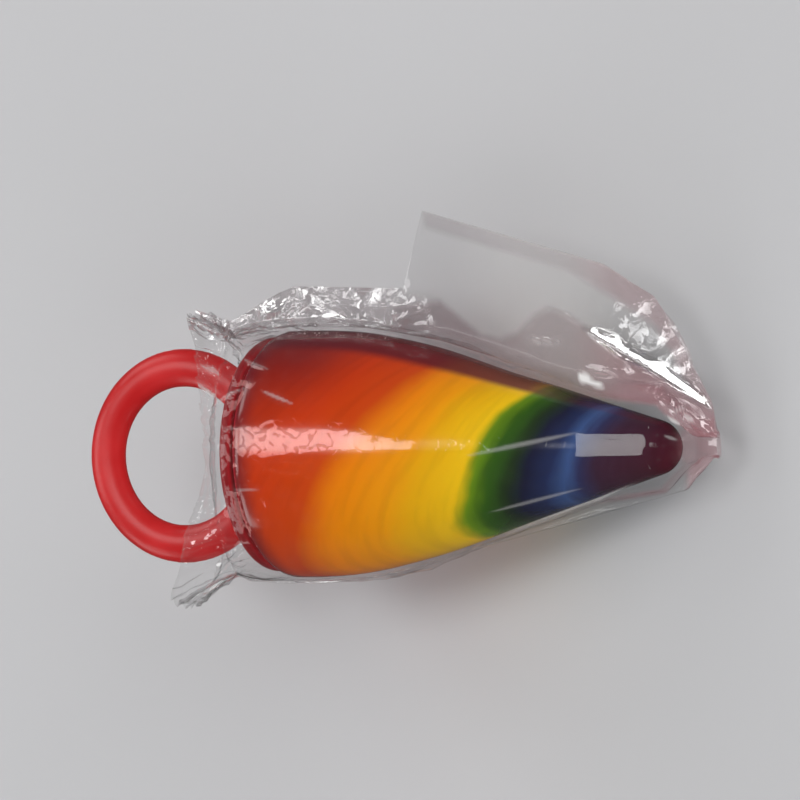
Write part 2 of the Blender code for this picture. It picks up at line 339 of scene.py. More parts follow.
def make_candy(frame):
    """The cast cone, a little uneven as cast sugar is, with its peg's socket."""
    socket_r = PEG_RADIUS + PIECE_GAP
    socket_x = PEG_LENGTH + PIECE_GAP
    base = [(0.0, radius) for radius in BASE_RINGS]
    socket = [(0.0, socket_r), (socket_x, socket_r), (socket_x, CANDY_AXIS_RADIUS)]
    inside = np.array(base + socket)
    outline = np.concatenate([cone_outline(), base_corner(), inside])
    outline[0, 1] = CANDY_AXIS_RADIUS
    around = np.linspace(0.0, 2 * math.pi, CANDY_STEPS, endpoint=False)
    x = np.repeat(outline[:, :1], len(around), 1)
    r = np.repeat(outline[:, 1:], len(around), 1)
    # Two slow waves round the cone, which only sink it
    uneven = np.sin(0.55 * x + 2 * around) + np.sin(0.31 * x - 3 * around + 2.0)
    sunk = UNEVENNESS * (uneven - 2) * ease(2.5, 6.0, r)
    outer = np.arange(len(outline))[:, None] < len(outline) - len(inside)
    r = np.where(outer, r + sunk, r)
    grid = np.stack([x, r * np.sin(around), r * np.cos(around)], -1)
    mesh = loft("candy_cone", grid, frame, closed=True)
    store(mesh, "place", grid.reshape(-1, 3))
    mesh.materials.append(candy_material())
    add_piece("candy_cone", mesh, "candy")


# ---------------------------------------------------------------------------------------- ring


def turned_grid(outline, steps):
    """Points of a body turned about X from a list of (x, r)."""
    outline = np.array(outline)
    around = np.linspace(0.0, 2 * math.pi, steps, endpoint=False)
    x = np.repeat(outline[:, :1], steps, 1)
    r = outline[:, 1:]
    return np.stack([x, r * np.sin(around), r * np.cos(around)], -1)


def saucer_mesh():
    """The saucer and its peg."""
    top = -PIECE_GAP
    edge = SAUCER_RIM / 4
    outline = [
        (PEG_LENGTH, SAUCER_AXIS_RADIUS),
        (PEG_LENGTH, PEG_RADIUS - PEG_BEVEL),
        (PEG_LENGTH - PEG_BEVEL, PEG_RADIUS),
        (top, PEG_RADIUS),
        (top, SAUCER_RADIUS - edge),
        (top - edge, SAUCER_RADIUS),
        (top - SAUCER_RIM + edge, SAUCER_RADIUS),
        (top - SAUCER_RIM, SAUCER_RADIUS - edge),
        (top - SAUCER_DEPTH + edge, SAUCER_FOOT_RADIUS),
        (top - SAUCER_DEPTH, SAUCER_FOOT_RADIUS - edge),
        (top - SAUCER_DEPTH, SAUCER_AXIS_RADIUS),
    ]
    return loft("saucer", turned_grid(outline, SAUCER_STEPS), Matrix.Identity(4), closed=True)


def band_mesh():
    """The round finger band, with the fine ridge that its mould leaves round the outside."""
    round_steps, section_steps = BAND_STEPS
    turn = np.linspace(0.0, 2 * math.pi, round_steps + 1)[:, None]
    angle = np.linspace(0.0, 2 * math.pi, section_steps, endpoint=False)[None, :]
    ridge = np.where(angle == 0.0, MOULD_RIDGE, 0.0)
    radius = HOLE_RADIUS + BAND_WIDTH / 2 * (1 + np.cos(angle)) + ridge
    z = BAND_THICKNESS / 2 * np.sin(angle) + 0 * turn
    grid = np.stack([HOLE_CENTRE + radius * np.cos(turn), radius * np.sin(turn), z], -1)
    return loft("band", grid, Matrix.Identity(4), closed=True)


def web_mesh():
    """The flat gussets beside the band, up to the saucer."""
    near = -PIECE_GAP - SAUCER_RIM / 2
    far = near - WEB_LENGTH
    middle = HOLE_RADIUS + BAND_WIDTH / 2
    first = math.acos((far - HOLE_CENTRE) / middle)
    outline = [(near, WEB_HALF_WIDTH)]
    for i in range(WEB_STEPS + 1):
        angle = first * (1 - 2 * i / WEB_STEPS)
        outline.append((HOLE_CENTRE + middle * math.cos(angle), middle * math.sin(angle)))
    outline.append((near, -WEB_HALF_WIDTH))
    build = bmesh.new()
    face = build.faces.new([build.verts.new((x, y, -WEB_THICKNESS / 2)) for x, y in outline])
    grown = bmesh.ops.extrude_face_region(build, geom=[face])
    top = [v for v in grown["geom"] if isinstance(v, bmesh.types.BMVert)]
    bmesh.ops.translate(build, verts=top, vec=(0.0, 0.0, WEB_THICKNESS))
    bmesh.ops.recalc_face_normals(build, faces=build.faces)
    mesh = bpy.data.meshes.new("web")
    build.to_mesh(mesh)
    build.free()
    return mesh


def make_ring(frame):
    """The ring as one moulding: its bodies melted together, with soft inner corners."""
    build = bmesh.new()
    for mesh in (saucer_mesh(), band_mesh(), web_mesh()):
        build.from_mesh(mesh)
        bpy.data.meshes.remove(mesh)
    bmesh.ops.remove_doubles(build, verts=build.verts, dist=0.001)
    bmesh.ops.holes_fill(build, edges=build.edges, sides=200)
    bmesh.ops.recalc_face_normals(build, faces=build.faces)
    joined = bpy.data.meshes.new("finger_ring")
    build.to_mesh(joined)
    build.free()
    source = bpy.data.objects.new("ring_source", joined)
    bpy.context.scene.collection.objects.link(source)
    melt = source.modifiers.new("melt", "REMESH")
    melt.mode = "VOXEL"
    melt.voxel_size = RING_VOXEL
    soften = source.modifiers.new("soften", "SMOOTH")
    soften.factor = 0.5
    soften.iterations = 4
    graph = bpy.context.evaluated_depsgraph_get()
    mesh = bpy.data.meshes.new_from_object(source.evaluated_get(graph))
    bpy.data.objects.remove(source)
    store(mesh, "place", [vertex.co for vertex in mesh.vertices])
    mesh.transform(frame)
    mesh.shade_smooth()
    mesh.materials.clear()
    mesh.materials.append(ring_material())
    add_piece("finger_ring", mesh, "ring")


# ---------------------------------------------------------------------------------------- film


class Facets:
    """A crumpled height field: flat facets between random points, each at a height of -1 to 1."""

    def __init__(self, size, step, seed):
        draw = random.Random(seed)
        points = []
        for i in range(-2, math.ceil(size[0] / step[0]) + 3):
            for j in range(-2, math.ceil(size[1] / step[1]) + 3):
                u = (i + draw.uniform(-0.48, 0.48) + 0.5 * (j % 2)) * step[0]
                v = (j + draw.uniform(-0.48, 0.48)) * step[1]
                points.append(Vector((u, v)))
        corners, _, faces, *_ = delaunay_2d_cdt(points, [], [], 0, 1e-6)
        lifted = [(p.x, p.y, draw.uniform(-1.0, 1.0)) for p in corners]
        self.tree = BVHTree.FromPolygons(lifted, faces)

    def __call__(self, u, v):
        """The heights at arrays of places."""
        down = Vector((0.0, 0.0, -1.0))
        heights = []
        for a, b in zip(u.ravel(), v.ravel()):
            hit = self.tree.ray_cast(Vector((a, b, 2.0)), down)[0]
            heights.append(hit.z if hit else 0.0)
        return np.array(heights).reshape(u.shape)


def film_sizes(x):
    """Half width and half height of the film's sleeve at each station, in front of the mouth."""
    outline = cone_outline(FILM_CLEARANCE)[::-1]
    radius = np.interp(x, outline[:, 0], outline[:, 1], right=0.0)
    share = np.clip((SHOULDER_START - x) / (SHOULDER_START - MOUTH_X), 0.0, 1.0) ** 3
    width = radius + (MOUTH_HALF_WIDTH - radius) * share
    height = radius + (MOUTH_HALF_HEIGHT - radius) * share
    # Towards the tip the film leaves the candy at a lower slope, then bends down and runs out flat
    leave_r = np.interp(TIP_LEAVE, outline[:, 0], outline[:, 1])
    bend_r = leave_r - (TIP_BEND - TIP_LEAVE) * TIP_SLOPE
    fallen = np.clip((x - TIP_BEND) / (FILM_END - TIP_BEND), 0.0, 1.0)
    sloping = leave_r - (x - TIP_LEAVE) * TIP_SLOPE
    bridge = np.where(x < TIP_BEND, sloping, bend_r * (1 - fallen) ** 1.5)
    past = x > TIP_LEAVE
    height = np.where(past, np.maximum(height, bridge), height)
    width = np.where(past, np.maximum(width, np.maximum(bridge, LEAST_HALF_WIDTH)), width)
    return width, np.maximum(height, LEAST_HALF_HEIGHT)


def film_columns():
    """The columns: their angle round the sleeve, how far out they are, and which are in front."""
    out = np.linspace(1.0, 0.0, MARGIN_COLUMNS, endpoint=False)
    front = np.linspace(0.0, math.pi, FRONT_COLUMNS)
    back = np.linspace(math.pi, 2 * math.pi, BACK_COLUMNS)
    fold = np.linspace(0.0, 1.0, FOLD_COLUMNS + 1)[1:]
    fold_back = fold[:-1]
    still = np.zeros_like
    angle = np.concatenate(
        [still(out), front, still(fold) + math.pi, still(fold_back) + math.pi, back,
         still(out) + 2 * math.pi]
    )
    upper = np.concatenate(
        [out, still(front), still(fold), still(fold_back), still(back), out[::-1]]
    )
    lower = np.concatenate(
        [still(out), still(front), fold, fold_back[::-1], still(back), still(out)]
    )
    is_front = np.arange(len(angle)) < MARGIN_COLUMNS + len(front) + len(fold)
    return angle, upper, lower, is_front


def zigzag(angle, folds, seed):
    """Sharp pleats round the mouth: a broken line through random heights."""
    draw = random.Random(seed)
    places = sorted(draw.uniform(0.0, 2 * math.pi) for _ in range(folds))
    heights = [(1 if i % 2 else -1) * draw.uniform(0.4, 1.0) for i in range(folds)]
    return np.interp(angle, places, heights, period=2 * math.pi)


def line_at(points, stations):
    """The height of a broken line at each station, as a column."""
    points = np.array(points)
    return np.interp(stations, points[:, 0], points[:, 1])[:, None]


def tent_reaches(x):
    """How far past the candy's side the film meets its other layer, above and below."""
    above = 1.0 + 1.0 * ease(12.0, 20.0, x) + 0.5 * ease(30.0, 42.0, x)
    return above, 0.12 + 0.5 * ease(18.0, 30.0, x)


def lift_tents(x, y, z, width, height, side):
    """Let the film leave the candy along a tangent to its margin, above and below.

    It returns the new heights, how far each place is past the candy's side, from 0 to 1, and how
    near it is to the foot, where the two layers meet.
    """
    beyond = np.zeros_like(z)
    foot = np.zeros_like(z)
    for sign, reach in zip((1.0, -1.0), tent_reaches(x)):
        far = width + reach
        touch = width * width / far
        touch_z = np.sqrt(np.maximum(width**2 - touch**2, 0.0))
        along = np.clip((far - sign * y) / (far - touch), 0.0, 1.0)
        line = touch_z * along**TENT_SAG * height / width
        tent = np.where((sign * y > touch) & (sign * y < far), line, 0.0)
        past = ease(-0.3, 0.3, sign * y - width) * (1 - ease(-0.9, 0.0, sign * y - far))
        beyond = np.maximum(beyond, past)
        foot = np.maximum(foot, 1 - ease(0.1, 0.6, np.abs(sign * y - far)))
        z = np.where(np.abs(z) < tent, tent * side, z)
    return z, beyond, foot


def spread_frill(x, y, z, angle, share):
    """Lay the rows past the mouth out as a frill, flared and ragged."""
    across = np.cos(angle)[None, :]
    around = np.sin(angle)[None, :]
    sideways = across**2 * np.where(across > 0, FRILL_UPPER_SHARE, 1.0)
    reach = FRILL_REACH + FRILL_SIDE_REACH * sideways
    ragged = 1 + 0.14 * np.sin(3 * angle + 1.0) + 0.1 * np.sin(7 * angle)
    flare = FRILL_FLARE * (0.3 + 0.7 * sideways) * share**1.3
    return x - reach * ragged * share + 0 * y, y + flare * across, z + flare * around


def press_folds(crumple, x, y, side):
    """The crumple with the straight creases in it, and how much painted white glint and painted
    mauve shade lie along them.
    """
    whitened = np.zeros_like(y)
    tinted = np.zeros_like(y)
    for fold in FOLDS:
        stand, near = fold_shape(x, y, fold)
        crumple = crumple + stand * side
        whitened = np.maximum(whitened, fold.whitened * ease(0.25, 0.8, near) * (side > 0))
        tinted = np.maximum(tinted, fold.tinted * ease(0.0, 0.8, near))
    return crumple, whitened, tinted


def film_grid():
    """The crumpled film as a grid of points, and what its material reads at each of them."""
    angle, upper, lower, is_front = film_columns()
    flat_layer = upper + lower > 0
    side = np.where(is_front, 1.0, -1.0)
    body_x = np.arange(MOUTH_X, FILM_END + ROW_STEP / 2, ROW_STEP)
    stations = np.concatenate([np.full(FRILL_ROWS, MOUTH_X), body_x])
    frill = np.concatenate([np.linspace(1.0, 0.0, FRILL_ROWS, endpoint=False), 0 * body_x])
    x0 = stations[:, None]
    share = frill[:, None]
    width, height = (size[:, None] for size in film_sizes(stations))
    margin = np.maximum(line_at(UPPER_EDGE, stations) - width, LEAST_MARGIN) * (1 - 0.4 * share)
    fold = np.where(x0 < LOWER_EDGE[0][0], 0.0, -line_at(LOWER_EDGE, stations) - width)
    fold = np.maximum(fold, LEAST_FOLD)

    across = np.cos(angle)[None, :]
    around = np.sin(angle)[None, :]
    y = width * across + margin * upper - fold * lower
    z, beyond, foot = lift_tents(x0, y, height * around, width, height, side)

    # The two layers of the margin, which rises a little towards its cut edge
    gap = LAYER_GAP + LAYER_BULGE * upper * (1 - upper) * 4
    z = np.where(np.abs(z) < gap, gap * side, z)
    out = margin * upper
    rise = MARGIN_SLOPE * out * (1 + MARGIN_CURL * out)
    z = z + rise * ease(6.0, 16.0, x0) * (1 - ease(38.0, 44.0, x0))

    # A small flat facet on the bridge to the tip
    facet = height - TIP_FACET_DEPTH - TIP_FACET_LEAN * y
    flat = is_front & ~flat_layer & (x0 > TIP_FACET[0]) & (x0 < TIP_FACET[1])
    z = np.where(flat, np.minimum(z, facet), z)

    # Where each point is on the flat sheet, from the middle of its own side
    from_middle = np.where(is_front, math.pi / 2 - angle, angle - 3 * math.pi / 2)
    sheet_y = width * from_middle + margin * upper - fold * lower
    crumple = crumple_heights(x0, sheet_y, y, upper, is_front, share, angle)

    x, y, z = spread_frill(x0, y, z, angle, share)
    crumple, whitened, fold_shade_mauve = press_folds(crumple, x, y, side)
    y = y + crumple * np.where(flat_layer, 0.0, across)
    z = z + crumple * np.where(flat_layer, 1.0, around)

    spots = ease(-0.3, 0.3, facet_heights(x0, sheet_y, is_front, share, SPOT_STEP, SPOT_SEED))
    bend = np.abs(np.gradient(np.gradient(crumple, axis=1), axis=1))
    bend += np.abs(np.gradient(np.gradient(crumple, axis=0), axis=0))
    from_cut = margin * (1 - upper)
    flap = film_zones(x0, y, upper)[3]
    shine = film_shine(x0, y, upper, share, spots)
    marks = {
        "crease": np.clip(10 * bend, 0.0, 1.0),
        # Painted white glints along the folds, and a milky haze over the flap
        "whitened": np.maximum(whitened, 0.28 * flap * ease(18.0, 30.0, x0)),
        "wrinkle": film_wrinkle(x0, y, upper, share),
        # Painted highlight along the cut edge and the frill's end
        "edge": np.maximum(1 - ease(0.0, 0.3, from_cut), ease(0.9, 1.0, share) + 0 * y),
        # Painted mauve: the candy's reflection and shade painted on the film
        "tint": film_reflection_and_shade(x0, y, upper, from_cut, np.maximum(beyond, fold_shade_mauve)),
        "shine": shine * (1 - 0.8 * foot * ease(13.0, 18.0, x0)),
        "sheet": np.stack([x, sheet_y, SHEET_APART * is_front + 0 * y], -1),
    }
    return np.stack([x, y, z], -1), marks


def fold_shape(x, y, fold):
    """How high one straight crease stands at each place, and how near its middle the place is."""
    (x0, y0), (x1, y1) = fold.start, fold.end
    length = math.hypot(x1 - x0, y1 - y0)
    ux, uy = (x1 - x0) / length, (y1 - y0) / length
    along = ((x - x0) * ux + (y - y0) * uy) / length
    off = (y - y0) * ux - (x - x0) * uy
    swell = np.sqrt(np.clip(4 * along * (1 - along), 0.0, 1.0))
    near = np.clip(swell - np.where(off > 0, off / fold.left, -off / fold.right), 0.0, 1.0)
    return fold.height * near, near


def film_zones(x, y, upper):
    """Where the film is crinkled, where it is past the tip, and where it is the flat flap."""
    in_margin = ease(0.0, 0.15, upper)[None, :]
    # The crinkles run on a little under the start of the flap, and over the candy's base edge
    under_flap = (1 - ease(14.0, 19.0, x)) * (1 - ease(14.5, 16.5, y))
    crinkled = np.maximum((1 - ease(11.0, 15.5, x)) * (1 - ease(16.6, 17.6, y)), under_flap)
    crinkled = np.maximum(crinkled * in_margin, 0.6 * ease(9.5, 11.5, y) * (1 - ease(1.5, 4.5, x)))
    past_tip = ease(33.0, 41.0, x) * in_margin
    flap = in_margin * ease(14.0, 17.0, x) * (1 - past_tip) * (1 - crinkled)
    return in_margin, crinkled, past_tip, flap


def film_shine(x, y, upper, share, spots):
    """How much light the film sends back face on: more where many creases lie close together."""
    in_margin, crinkled, past_tip, _ = film_zones(x, y, upper)
    shine = SLEEVE_SHINE * (1 - in_margin) * (1 - 0.35 * ease(33.5, 34.5, x))
    shine = shine * (1 - 0.9 * ease(42.5, 43.1, x))
    shine = shine * (0.5 + 0.5 * ease(-0.5, 1.5, x))
    shine = shine + FLAP_SHINE * in_margin
    past_tip = np.maximum(past_tip, 0.8 * ease(44.6, 46.0, x) * (1 - in_margin))
    crumpled = np.maximum(crinkled * (1 - 0.5 * share), 0.35 * past_tip)
    shine = shine + CRINKLE_SHINE * crumpled * (0.13 + 0.87 * spots)
    shine = shine + FRILL_SHINE * share
    return shine + FOLD_SHINE * fold_shape(x + 0 * y, y, BIG_FOLD)[1] ** 0.5


def film_reflection_and_shade(x, y, upper, from_cut, by_shape):
    """How much mauve is painted on the film, as painted reflection of the candy and painted shade:
    by the candy and the folds, along the hem and in the crinkles.
    """
    in_margin, crinkled, _, _ = film_zones(x, y, upper)
    wide = ease(32.0, 38.0, x)
    hem = 1 - ease(1.2 + 0.8 * wide, 2.2 + 1.6 * wide, from_cut)
    hem = hem * (0.7 + 0.3 * wide) * ease(16.5, 17.5, x) * ease(0.0, 0.15, upper)
    under = 1 - ease(-0.8, 0.4, y - line_at(UNDER_FOLDS, x[:, 0]))
    under = under * in_margin * ease(10.0, 14.0, x)
    at_tip = ease(44.3, 45.6, x) * (1 - in_margin)
    deeper = 1 + 0.5 * ease(22.0, 34.0, x) + 1.1 * ease(34.0, 40.0, x)
    zones = (by_shape * deeper, 1.7 * under, 1.5 * at_tip, hem, 0.9 * crinkled)
    return np.maximum.reduce(np.broadcast_arrays(*zones))


def film_wrinkle(x, y, upper, share):
    """How deep the film's hair-fine wrinkles are."""
    in_margin, crinkled, past_tip, _ = film_zones(x, y, upper)
    at_ridge = (1 - ease(9.0, 14.0, x)) * (1 - ease(2.0, 3.6, np.abs(y - 0.5)))
    over = (0.10 + 1.1 * at_ridge) * (1 - in_margin)
    wrinkle = over + 0.12 * in_margin + 0.45 * np.maximum(crinkled, past_tip) * (1 - 0.5 * share)
    return wrinkle * (1 - 0.8 * ease(0.0, 0.4, fold_shape(x + 0 * y, y, BIG_FOLD)[1]))


def facet_heights(x, sheet_y, is_front, share, step, seed):
    """Heights of -1 to 1 on random flat facets, other ones on the front than behind."""
    place_x = np.broadcast_to(x, sheet_y.shape) + FRILL_ROWS - 8 * share
    size = (FILM_END + 20 + FRILL_ROWS, 100.0)
    heights = np.zeros_like(sheet_y)
    for which, shift in ((True, 0), (False, 100)):
        chosen = is_front == which
        field = Facets(size, step, seed + shift)
        heights[:, chosen] = field(place_x[:, chosen], sheet_y[:, chosen] + size[1] / 2)
    return heights


def crumple_heights(x, sheet_y, y, upper, is_front, share, angle):
    """How far each point of the film stands off its smooth place."""
    flat = np.broadcast_to(x, sheet_y.shape)
    total = np.zeros_like(sheet_y)
    front = np.where(is_front, 1.0, 0.0)[None, :]
    near_base = 1 - ease(-2.5, 4.5, x)
    in_margin, crinkled, past_tip, flap = film_zones(x, y, upper)
    over = 1 - in_margin
    past_tip = past_tip + ease(44.2, 46.0, x) * over
    behind = over * (1 - front)
    # The big fold pulls the film beside it straight
    calm = 1 - 0.93 * ease(0.0, 0.35, fold_shape(flat, y, BIG_FOLD)[1])

    # How far apart the facets' corners are, their seed, and how high they stand
    layers = (
        ((3.0, 2.0), 11, 0.65 * crinkled + 0.30 * near_base * over),
        ((1.4, 0.9), 12, 0.36 * crinkled + 0.14 * near_base * over + 0.10 * behind),
        ((0.8, 0.5), 18, 0.08 * crinkled + 0.05 * past_tip),
        ((4.5, 3.0), 13, 0.70 * past_tip + 0.30 * behind),
        ((1.8, 1.2), 14, 0.28 * past_tip),
        ((11.0, 7.0), 15, 0.16 * flap),
        ((9.0, 2.4), 16, 0.08 * over * front),
        ((1.3, 0.7), 17, 0.05 * (1 - ease(7.0, 13.0, x)) * over * front),
    )
    for step, seed, amount in layers:
        total += amount * calm * facet_heights(x, sheet_y, is_front, share, step, seed)
    pleats = sum(height * zigzag(angle, count, seed)[None, :] for count, seed, height in PLEATS)
    gathered = (1 - ease(MOUTH_X, 1.5, x)) * (1 - in_margin)
    total += gathered * pleats * (1 + 1.4 * share)
    # Over the candy the film can only stand outwards, and it hangs a little below it
    total = np.where(in_margin > 0.5, total, np.abs(total))
    return total + SAG * behind * ease(4.0, 11.0, x) * (1 - ease(18.0, 26.0, x))


def make_film(frame):
    """The wrapper, one sheet of film folded round candy and saucer."""
    grid, marks = film_grid()
    matrix = np.array(frame)
    heights = grid @ matrix[2, :3] + matrix[2, 3]
    # Pressed flat where it lies on the surface
    sunk = np.maximum(FLOOR_GAP * MM - heights, 0.0)
    up = np.array([-math.sin(REST_TILT), 0.0, math.cos(REST_TILT)])
    grid = grid + (sunk / MM)[..., None] * up
    mesh = loft("film_wrapper", grid, frame)
    for name, values in marks.items():
        values = np.broadcast_to(values, grid.shape if name == "sheet" else grid.shape[:2])
        store(mesh, name, values.reshape(len(mesh.vertices), -1).squeeze())
    mesh.materials.append(film_material())
    add_piece("film_wrapper", mesh, "wrapper")


# ----------------------------------------------------------------------------------- materials


class Nodes:
    """A short way to write a material's nodes."""

    def __init__(self, name):
        self.material = bpy.data.materials.new(name)
        self.material.use_nodes = True
        self.tree = self.material.node_tree
        self.tree.nodes.clear()

    def add(self, kind, inputs=None, **settings):
        """A node, with its settings and what its inputs hold or are joined to."""
        node = self.tree.nodes.new(kind)
        for key, value in settings.items():
            setattr(node, key, value)
        for key, value in (inputs or {}).items():
            if isinstance(value, bpy.types.NodeSocket):
                self.tree.links.new(value, node.inputs[key])
            else:
                node.inputs[key].default_value = value
        return node

    def math(self, operation, *values):
        """A number worked out from others."""
        return self.add("ShaderNodeMath", dict(enumerate(values)), operation=operation).outputs[0]

    def less(self, value):
        """What is left of 1 after a number."""
        return self.math("SUBTRACT", 1.0, value)

    def rise(self, value, low, high):
        """0 below low and 1 above high, with a smooth rise between them."""
        inputs = {"Value": value, "From Min": low, "From Max": high}
        return self.add(
            "ShaderNodeMapRange", inputs, interpolation_type="SMOOTHSTEP"
        ).outputs["Result"]

    def stored(self, name, output="Fac"):
        """What the mesh stores under a name."""
        return self.add("ShaderNodeAttribute", attribute_name=name).outputs[output]

    def split(self, vector):
        """The three numbers of a vector."""
        return self.add("ShaderNodeSeparateXYZ", {0: vector}).outputs

    def noise(self, vector, scale, detail, output="Fac"):
        """Soft noise at the place that the vector gives."""
        inputs = {"Vector": vector, "Scale": scale, "Detail": detail}
        return self.add("ShaderNodeTexNoise", inputs).outputs[output]

    def diffuse(self, colour):
        """A plain diffuse shader."""
        return self.add("ShaderNodeBsdfDiffuse", {"Color": colour}).outputs[0]

    def blend(self, share, first, second):
        """Two shaders mixed."""
        return self.add("ShaderNodeMixShader", {0: share, 1: first, 2: second}).outputs[0]

    def mix(self, factor, first, second, blend="MIX"):
        """Two colours mixed."""
        inputs = {0: factor, 6: first, 7: second}
        return self.add(
            "ShaderNodeMix", inputs, data_type="RGBA", blend_type=blend, clamp_factor=True
        ).outputs[2]

    def ramp(self, value, low, high, stops):
        """A colour by where the value is among the stops."""
        place = self.add(
            "ShaderNodeMapRange", {"Value": value, "From Min": low, "From Max": high}
        ).outputs["Result"]
        node = self.add("ShaderNodeValToRGB", {"Fac": place})
        elements = node.color_ramp.elements
        elements.remove(elements[-1])
        elements[0].position = 0.0
        elements[0].color = srgb(stops[0][1])
        for at, colour in stops[1:]:
            elements.new((at - low) / (high - low)).color = srgb(colour)
        return node.outputs["Color"]

    def finish(self, shader):
        """Join the shader to the output."""
        self.add("ShaderNodeOutputMaterial", {"Surface": shader})
        return self.material


# Colours of the candy, by how far along the slanting layers they are (mm)
RAINBOW = (
    (-9.0, "8E1408"),
    (2.0, "B02A0C"),
    (9.0, "D03C0A"),
    (14.3, "D24808"),
    (17.5, "F48A02"),
    (22.0, "F8A202"),
    (24.0, "F2B404"),
    (27.3, "FBCB10"),
    (28.4, "6E9412"),
    (29.9, "345E12"),
    (31.8, "22341C"),
    (33.0, "1A1C38"),
    (34.6, "242E56"),
    (36.0, "40598C"),
    (37.2, "34345A"),
    (38.8, "40263A"),
    (43.6, "4A1E2A"),
    (46.0, "6C2430"),
    (48.0, "6C2430"),
)
# Where the ramp of those colours starts and ends (mm)
RAINBOW_RANGE = (-10.0, 48.0)
# The other colours
STREAK = "703020"
# The first crimson paints shade on the candy's upper side; the next one paints a shade band along it
# and also colours the base edge
SHADE_CRIMSON = "7A1418"
SHADE_BAND_AND_BASE_CRIMSON = "6A1220"
# A lighter red, painted as light into the gap by the saucer
GAP_LIGHT_RED = "B82434"
RING_REDS = ("C02022", "CE2C2E")
# The saucer's deeper red is painted shade, and its top's brighter red painted light
SAUCER_SHADE_RED = "8C1018"
SAUCER_TOP_LIGHT_RED = "C01C28"
# The film's white paints its glints and its haze
HAZE_AND_GLINT_WHITE = "EDEBEA"
# The mauve paints shade and the rose the candy's reflection on the film
SHADE_MAUVE = "7C6268"
REFLECTION_ROSE = "B0747C"
FLOOR_GREY = "C4C4C6"
# The surround and the film's highlight, the highlight over the red, and what the film lets
# through, as linear colours
WHITE = (1.0, 1.0, 1.0, 1.0)
ROSY_GLEAM = (0.92, 0.53, 0.49, 1.0)
CLEAR = (0.985, 0.985, 0.985, 1.0)


def layer_place(nodes, x, y):
    """How far along the candy's slanting layers a place is."""
    steepness = nodes.math("SUBTRACT", 0.62, nodes.math("MULTIPLY", x, 0.0075))
    slanted = nodes.math("SUBTRACT", x, nodes.math("MULTIPLY", y, steepness))
    below = nodes.math("MAXIMUM", nodes.math("MULTIPLY", y, -0.13), 0.0)
    slanted = nodes.math("ADD", slanted, below)
    above = nodes.math("MULTIPLY", nodes.math("MAXIMUM", y, 0.0), 0.22)
    above = nodes.math("MULTIPLY", above, nodes.less(nodes.rise(x, 18.0, 24.0)))
    return nodes.math("SUBTRACT", slanted, above)


def candy_material():
    """Clear hard candy, cast in slanting layers of colour that run into each other a little."""
    nodes = Nodes("rainbow_candy")
    place = nodes.stored("place", "Vector")
    x, y, z = nodes.split(place)
    phase = nodes.math("ADD", layer_place(nodes, x, y), nodes.math("MULTIPLY", z, 0.31))
    parts = {
        0: nodes.math("MULTIPLY", phase, 0.9),
        1: nodes.math("MULTIPLY", y, 0.12),
        2: nodes.math("MULTIPLY", z, 0.12),
    }
    along = nodes.add("ShaderNodeCombineXYZ", parts).outputs[0]
    streaks = nodes.noise(along, 1.0, 4.0)
    clouds = nodes.noise(place, 0.16, 2.0)
    wander = nodes.math("MULTIPLY", nodes.math("SUBTRACT", clouds, 0.5), 2.0)
    ragged = nodes.math("MULTIPLY", nodes.math("SUBTRACT", streaks, 0.5), 0.9)
    moved = nodes.math("ADD", nodes.math("ADD", phase, wander), ragged)
    colour = nodes.ramp(moved, *RAINBOW_RANGE, RAINBOW)
    darker = nodes.math("MULTIPLY", nodes.rise(streaks, 0.44, 0.66), 0.10)
    colour = nodes.mix(darker, colour, srgb(STREAK), "MULTIPLY")

    # Painted shade: the upper side darkens to crimson towards its edge near the base, and a dark
    # crimson band of painted shade runs along that side's edge, fading towards the tip; the base
    # edge is crimson too
    squares = nodes.math("ADD", nodes.math("MULTIPLY", y, y), nodes.math("MULTIPLY", z, z))
    radius = nodes.math("MAXIMUM", nodes.math("SQRT", squares), 0.1)
    sideways = nodes.math("DIVIDE", y, radius)
    upright = nodes.math("DIVIDE", z, radius)
    shade = nodes.math("MULTIPLY", nodes.rise(sideways, 0.30, 0.88), 0.75)
    shade = nodes.math("MULTIPLY", shade, nodes.less(nodes.rise(x, 5.0, 14.5)))
    colour = nodes.mix(shade, colour, srgb(SHADE_CRIMSON))
    shade_band = nodes.math("MULTIPLY", nodes.rise(sideways, 0.82, 0.90), nodes.rise(upright, -0.4, -0.1))
    fading = nodes.math("MULTIPLY_ADD", nodes.rise(x, 28.5, 33.0), -0.72, 0.92)
    shade_band = nodes.math("MULTIPLY", shade_band, fading)
    edge = nodes.math("MULTIPLY", nodes.less(nodes.rise(x, 0.6, 3.2)), 0.85)
    colour = nodes.mix(nodes.math("MAXIMUM", shade_band, edge), colour, srgb(SHADE_BAND_AND_BASE_CRIMSON))
    # The base's very edge is painted a lighter red: painted light that lifts the dark gap beside the
    # saucer
    colour = nodes.mix(nodes.less(nodes.rise(x, 0.2, 0.9)), colour, srgb(GAP_LIGHT_RED))

    # The round tip is duller
    level = nodes.math("MULTIPLY_ADD", nodes.rise(x, 41.0, 43.0), -0.45, 0.5)
    shader = nodes.add(
        "ShaderNodeBsdfPrincipled",
        {
            "Base Color": colour,
            "Roughness": 0.14,
            "Specular IOR Level": level,
            "Subsurface Weight": 0.2,
            "Subsurface Radius": (2.0, 1.0, 0.5),
            "Subsurface Scale": 0.0012,
            "IOR": 1.49,
        },
    )
    return nodes.finish(shader.outputs[0])


